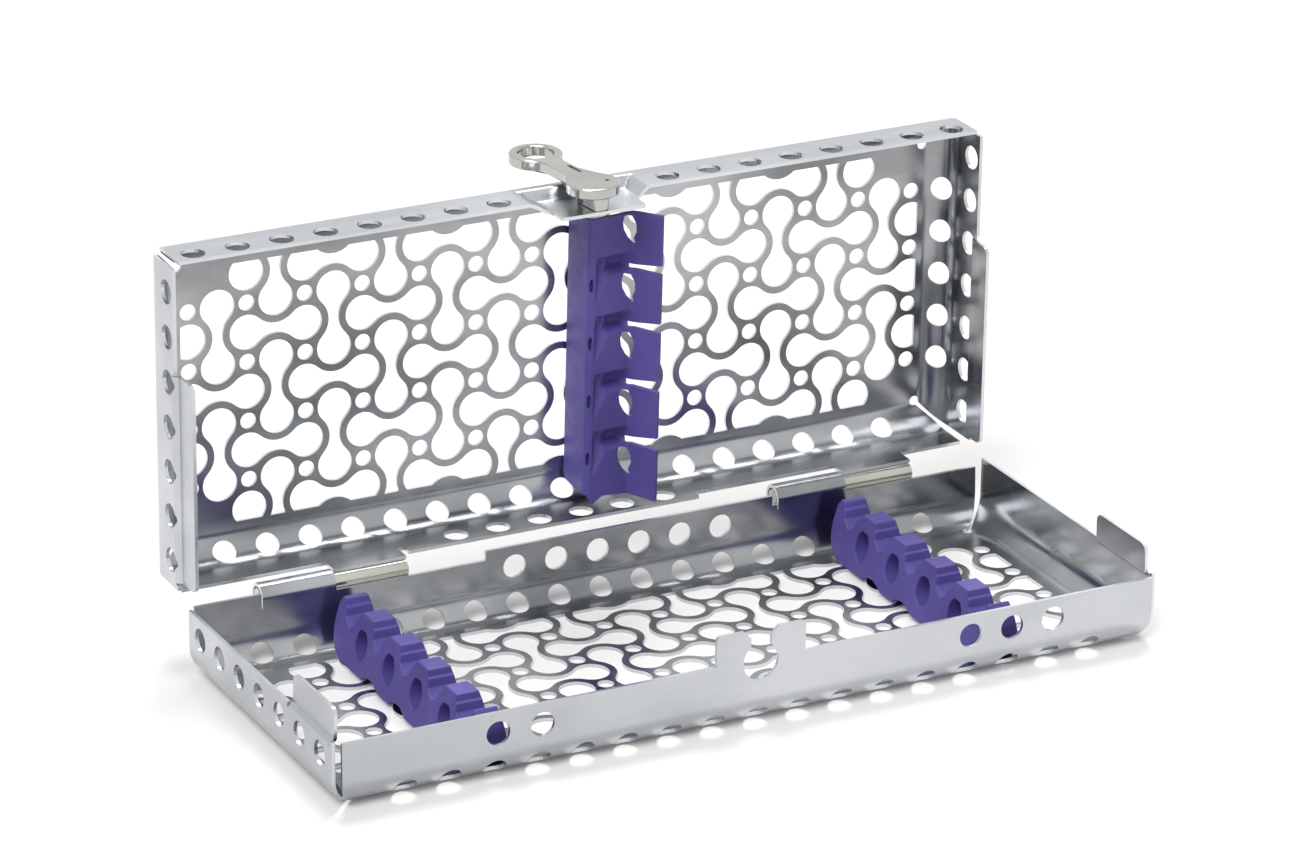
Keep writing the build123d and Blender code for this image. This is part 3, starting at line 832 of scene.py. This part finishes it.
def latch_place(level):
    """Axes of the latch at a height, turned with the lever."""
    turn = Matrix.Rotation(math.radians(LEVER_REST), 4, "Z")
    return Matrix.Translation((0, LATCH_Y, level)) @ turn


def lever_outline():
    """Head and ring joined by an arm with a flare at each end, in tangent arcs."""
    arm, head, ring, long = 2.5, 6.0, 6.15, LEVER_LENGTH
    head_flare, ring_flare = 9.0, 4.5
    head_y = math.sqrt((head + head_flare) ** 2 - (arm + head_flare) ** 2)
    ring_y = long - math.sqrt((ring + ring_flare) ** 2 - (arm + ring_flare) ** 2)
    head_turn = math.degrees(math.atan2(head_y, arm + head_flare))
    ring_turn = math.degrees(math.atan2(ring_y - long, arm + ring_flare))
    right = arc((arm + head_flare, head_y), head_flare, 180 + head_turn, -head_turn, 10)
    right += arc((arm + ring_flare, ring_y), ring_flare, 180, ring_turn, 8)
    left = [(-u, v) for u, v in reversed(right)]
    around = arc((0, long), ring, ring_turn, 180 - 2 * ring_turn, 40)
    under = arc((0, 0), head, 180 - head_turn, 180 + 2 * head_turn, 36)
    return right[:-1] + around + left[1:-1] + under[:-1]


def make_lever():
    """The lever, with a blind slot in its arm and a punch mark in its head."""
    slot = arc((1.15, 11.1), 0.5, 0, 180, 8) + arc((1.15, 6.9), 0.5, 180, 180, 8)
    pits = [(slot, 0.5), (circle((3.0, -1.1), 0.5, 14), 0.5)]
    hole = circle((0, LEVER_LENGTH), RING_BORE, 48)
    half = LEVER_THICKNESS / 2
    place = latch_place(LEVER_FOOT + half)
    return moulded("lever", lever_outline(), [hole], lambda v: half, 0.4, place, pits)


def make_hub():
    """A post with two flats, which passes the keyhole's neck one way round."""
    low = PLATE_TOP + SEAT_GAP
    half = (LEVER_FOOT - low) / 2
    corner = math.degrees(math.acos(HUB_FLAT / HUB_RADIUS))
    sweep = 180 - 2 * corner
    outline = arc((0, 0), HUB_RADIUS, corner, sweep, 12)
    outline += arc((0, 0), HUB_RADIUS, 180 + corner, sweep, 12)
    return moulded("hub", outline, [], lambda v: half, 0.2, latch_place(low + half))


def make_washer():
    """The washer under the plate."""
    top = PLATE_TOP - SHEET
    low, inner, outer, edge = top - WASHER_THICKNESS, 1.55, 3.7, 0.2
    profile = [(inner, low), (outer - edge, low), (outer, low + edge), (outer, top - edge)]
    profile += [(outer - edge, top), (inner, top), (inner, low)]
    return turned_piece("washer", profile, latch_place(0))


def make_rivet():
    """A shank through plate and washer, with a domed head below them."""
    top, shank = PLATE_TOP + SEAT_GAP, 1.5
    under = PLATE_TOP - SHEET - WASHER_THICKNESS - SEAT_GAP
    dome = [(0, 1.0), (1.0, 0.97), (1.8, 0.82), (2.4, 0.5), (2.6, 0.1), (2.6, 0)]
    profile = [(radius, under - drop) for radius, drop in dome]
    profile += [(shank, under), (shank, top), (0, top)]
    return turned_piece("rivet", profile, latch_place(0))


def make_rod(name, start):
    """A hinge rod with chamfered ends."""
    radius, length, edge = 2.15, 36.2, 0.4
    profile = [(0, 0), (radius - edge, 0), (radius, edge), (radius, length - edge)]
    profile += [(radius - edge, length), (0, length)]
    place = Matrix.Translation((start, HINGE_Y, HINGE_Z)) @ Matrix.Rotation(math.pi / 2, 4, "Y")
    return turned_piece(name, profile, place)


# Materials --------------------------------------------------------------------------------

# Depth of the finest relief, in metres
GRAIN_DEPTH, SILICONE_DEPTH = 0.004 * MM, 0.03 * MM


def node_material(name, **inputs):
    """A new material with the given inputs set on its shader."""
    material = bpy.data.materials.new(name)
    material.use_nodes = True
    tree = material.node_tree
    shader = tree.nodes["Principled BSDF"]
    for key, value in inputs.items():
        shader.inputs[key.replace("_", " ")].default_value = value
    return material, tree, shader


def noise(tree, scale, stretch=(1, 1, 1), detail=3.0):
    """Noise in the object's own axes, stretched along a direction."""
    coordinate = tree.nodes.new("ShaderNodeTexCoord")
    mapping = tree.nodes.new("ShaderNodeMapping")
    mapping.inputs["Scale"].default_value = stretch
    texture = tree.nodes.new("ShaderNodeTexNoise")
    texture.inputs["Scale"].default_value = scale
    texture.inputs["Detail"].default_value = detail
    tree.links.new(coordinate.outputs["Object"], mapping.inputs["Vector"])
    tree.links.new(mapping.outputs["Vector"], texture.inputs["Vector"])
    return texture.outputs["Fac"]


def ramp(tree, source, low, high, at=(0.3, 0.7)):
    """A value or colour that runs between two ends over part of a source's range."""
    if isinstance(low, tuple):
        node = tree.nodes.new("ShaderNodeValToRGB")
        node.color_ramp.elements[0].position, node.color_ramp.elements[1].position = at
        node.color_ramp.elements[0].color = (*low, 1)
        node.color_ramp.elements[1].color = (*high, 1)
        tree.links.new(source, node.inputs["Fac"])
        return node.outputs["Color"]
    node = tree.nodes.new("ShaderNodeMapRange")
    node.inputs["From Min"].default_value, node.inputs["From Max"].default_value = at
    node.inputs["To Min"].default_value = low
    node.inputs["To Max"].default_value = high
    tree.links.new(source, node.inputs["Value"])
    return node.outputs["Result"]


def bump(tree, shader, source, strength, distance):
    """Relief on a shader, of a depth in metres."""
    node = tree.nodes.new("ShaderNodeBump")
    node.inputs["Strength"].default_value = strength
    node.inputs["Distance"].default_value = distance
    tree.links.new(source, node.inputs["Height"])
    tree.links.new(node.outputs["Normal"], shader.inputs["Normal"])


def steel(name, dark, light, rough, grain=(1, 1, 1)):
    """Bare steel: broad soft tones, cloudy tone within them, uneven polish and a fine grain."""
    material, tree, shader = node_material(name, Metallic=1.0)
    broad = noise(tree, 14, (1, 1, 0.7), detail=1)
    cloud = noise(tree, 60, (0.5, 1, 1), detail=4)
    both = tree.nodes.new("ShaderNodeMix")
    both.inputs["Factor"].default_value = 0.5
    tree.links.new(cloud, both.inputs["A"])
    tree.links.new(broad, both.inputs["B"])
    tone = ramp(tree, both.outputs["Result"], dark, light, (0.38, 0.62))
    tree.links.new(tone, shader.inputs["Base Color"])
    polish = noise(tree, 140, grain, detail=5)
    tree.links.new(ramp(tree, polish, *rough), shader.inputs["Roughness"])
    bump(tree, shader, noise(tree, 900, grain, detail=2), 0.35, GRAIN_DEPTH)
    return material


def silicone(name):
    """Matt moulded silicone, clouded a little in tone and polish."""
    material, tree, shader = node_material(name, Roughness=0.5, IOR=1.42)
    cloud = noise(tree, 60, detail=3)
    tree.links.new(
        ramp(tree, cloud, (0.072, 0.055, 0.245), (0.100, 0.079, 0.325)),
        shader.inputs["Base Color"],
    )
    tree.links.new(ramp(tree, noise(tree, 400), 0.42, 0.58), shader.inputs["Roughness"])
    bump(tree, shader, noise(tree, 1500), 0.25, SILICONE_DEPTH)
    shader.inputs["Subsurface Weight"].default_value = 0.08
    shader.inputs["Subsurface Scale"].default_value = 0.002
    return material


along_x = (0.15, 1, 1)
outer_steel = steel("outer_steel", (0.42, 0.44, 0.465), (0.54, 0.56, 0.585), (0.26, 0.38), along_x)
# The inner skin is the same steel as the outer skin, made darker: painted shade inside the trays.
shaded_inner_steel = steel("shaded_inner_steel", (0.19, 0.20, 0.21), (0.45, 0.465, 0.48), (0.16, 0.28), along_x)
# The rims of the sheet and of its holes are the same steel, made lighter: a painted highlight along
# the edges.
highlit_edge_steel = steel("highlit_edge_steel", (0.55, 0.57, 0.59), (0.68, 0.70, 0.72), (0.25, 0.35))
rod_steel = steel("rod_steel", (0.38, 0.38, 0.335), (0.56, 0.56, 0.50), (0.12, 0.24), (0.2, 1, 1))
latch_steel = steel("latch_steel", (0.36, 0.37, 0.35), (0.50, 0.51, 0.48), (0.10, 0.20))
rail_silicone = silicone("rail_silicone")


def finish_piece(piece, body, materials, slot, *nodes):
    """Give a piece its materials and body, and hide the frame's nodes that it stands for; slot is
    not used.
    """
    for material in materials:
        piece.data.materials.append(material)
    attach(piece, body)
    if nodes:
        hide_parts(*nodes)


# Outer steel, then the inner steel darkened as painted shade, then the rim steel lightened as a
# painted highlight.
both_skins = (outer_steel, shaded_inner_steel, highlit_edge_steel)
finish_piece(make_base_tray(), "base", both_skins, "tray_steel", "base_tray")
finish_piece(make_lid_tray(), "lid", both_skins, "tray_steel", "lid_tray")

rods = {"rod_left": (LEFT_ROLL, "hinge_rod_left"), "rod_right": (RIGHT_ROLL, "hinge_rod_right")}
for name, (roll, node) in rods.items():
    finish_piece(make_rod(name, roll[0]), "lid", (rod_steel,), "rod_steel", node)

pads = [(pad + 0.5) * PITCH for pad in range(-HALF_ROWS, HALF_ROWS)]
for side, column in (("left", -RAIL_COLUMN), ("right", RAIL_COLUMN)):
    rail = make_rail("rail_body_" + side, column)
    finish_piece(rail, "base", (rail_silicone,), "silicone", "rail_" + side)
    plugs = make_plugs("rail_plugs_" + side, [(column * PITCH, y) for y in pads], BASE)
    finish_piece(plugs, "base", (rail_silicone,), "silicone")

finish_piece(make_lid_rail(), "lid", (rail_silicone,) * 3, "silicone", "lid_rail")
plugs = make_plugs("lid_rail_plugs", [(PITCH / 2, y) for y in pads], LID)
finish_piece(plugs, "lid", (rail_silicone,), "silicone")

finish_piece(make_lever(), "latch", (latch_steel,), "latch_steel", "latch_lever")
finish_piece(make_hub(), "latch", (latch_steel,), "latch_steel", "latch_hub")
finish_piece(make_rivet(), "latch", (latch_steel,), "latch_steel", "latch_rivet")
finish_piece(make_washer(), "lid", (latch_steel,), "latch_steel", "latch_washer")


# Floor, world, light and camera -----------------------------------------------------------


def background_rays(tree):
    """1 for rays that see the backdrop itself or mirror it."""
    path = tree.nodes.new("ShaderNodeLightPath")
    total = None
    for ray in ("Is Camera Ray", "Is Glossy Ray", "Is Transmission Ray"):
        if total is None:
            total = path.outputs[ray]
            continue
        node = tree.nodes.new("ShaderNodeMath")
        node.operation = "MAXIMUM"
        tree.links.new(total, node.inputs[0])
        tree.links.new(path.outputs[ray], node.inputs[1])
        total = node.outputs[0]
    return total


def make_floor():
    """A pale matt floor that is plain white where nothing shades it."""
    mesh = bpy.data.meshes.new("floor")
    mesh.from_pydata([(-6, -6, 0), (6, -6, 0), (6, 6, 0), (-6, 6, 0)], [], [(0, 1, 2, 3)])
    floor = bpy.data.objects.new("floor", mesh)
    bpy.context.collection.objects.link(floor)
    material = bpy.data.materials.new("floor")
    material.use_nodes = True
    tree = material.node_tree
    tree.nodes.clear()
    output = tree.nodes.new("ShaderNodeOutputMaterial")
    diffuse = tree.nodes.new("ShaderNodeBsdfDiffuse")
    diffuse.inputs["Color"].default_value = (0.80, 0.785, 0.775, 1)
    glow = tree.nodes.new("ShaderNodeEmission")
    both = tree.nodes.new("ShaderNodeAddShader")
    amount = tree.nodes.new("ShaderNodeMath")
    amount.operation = "MULTIPLY"
    amount.inputs[1].default_value = 0.06
    tree.links.new(background_rays(tree), amount.inputs[0])
    tree.links.new(amount.outputs[0], glow.inputs["Strength"])
    tree.links.new(diffuse.outputs[0], both.inputs[0])
    tree.links.new(glow.outputs[0], both.inputs[1])
    tree.links.new(both.outputs[0], output.inputs["Surface"])
    mesh.materials.append(material)


def make_world():
    """White to the camera and in reflections, dimmer as a light on the object."""
    world = bpy.data.worlds.new("studio")
    world.use_nodes = True
    tree = world.node_tree
    background = tree.nodes["Background"]
    background.inputs["Color"].default_value = (1, 1, 1, 1)
    level = tree.nodes.new("ShaderNodeMapRange")
    level.inputs["To Min"].default_value = 0.42
    level.inputs["To Max"].default_value = 1.0
    tree.links.new(background_rays(tree), level.inputs["Value"])
    tree.links.new(level.outputs["Result"], background.inputs["Strength"])
    bpy.context.scene.world = world


def soft_lamp(name, place, spread, strength):
    """A wide, even lamp that shines from a place's side towards the origin."""
    lamp = bpy.data.lights.new(name, "SUN")
    lamp.angle = math.radians(spread)
    lamp.energy = strength
    holder = bpy.data.objects.new(name, lamp)
    holder.location = place
    holder.rotation_mode = "QUATERNION"
    holder.rotation_quaternion = (-Vector(place)).to_track_quat("-Z", "Y")
    bpy.context.collection.objects.link(holder)


def make_camera():
    """The photograph's viewpoint, from the camera's own axes in the object's frame."""
    camera = bpy.data.cameras.new("camera")
    camera.sensor_width = 36
    camera.lens = 163.126
    camera.clip_start, camera.clip_end = 0.05, 50
    holder = bpy.data.objects.new("camera", camera)
    right = Vector((0.888038, -0.459603, 0.012421))
    up = Vector((0.164063, 0.342007, 0.925264))
    back = Vector((-0.429502, -0.819632, 0.379119))
    place = Matrix.Translation((-0.557024, -1.048047, 0.540840))
    holder.matrix_world = place @ Matrix((right, up, back)).transposed().to_4x4()
    bpy.context.collection.objects.link(holder)
    bpy.context.scene.camera = holder


make_floor()
make_world()
soft_lamp("key", (-0.7, -0.5, 1.1), spread=34, strength=2.0)
soft_lamp("rear", (0.35, 0.6, 1.35), spread=26, strength=1.9)
make_camera()
bpy.context.scene.view_settings.view_transform = "Standard"
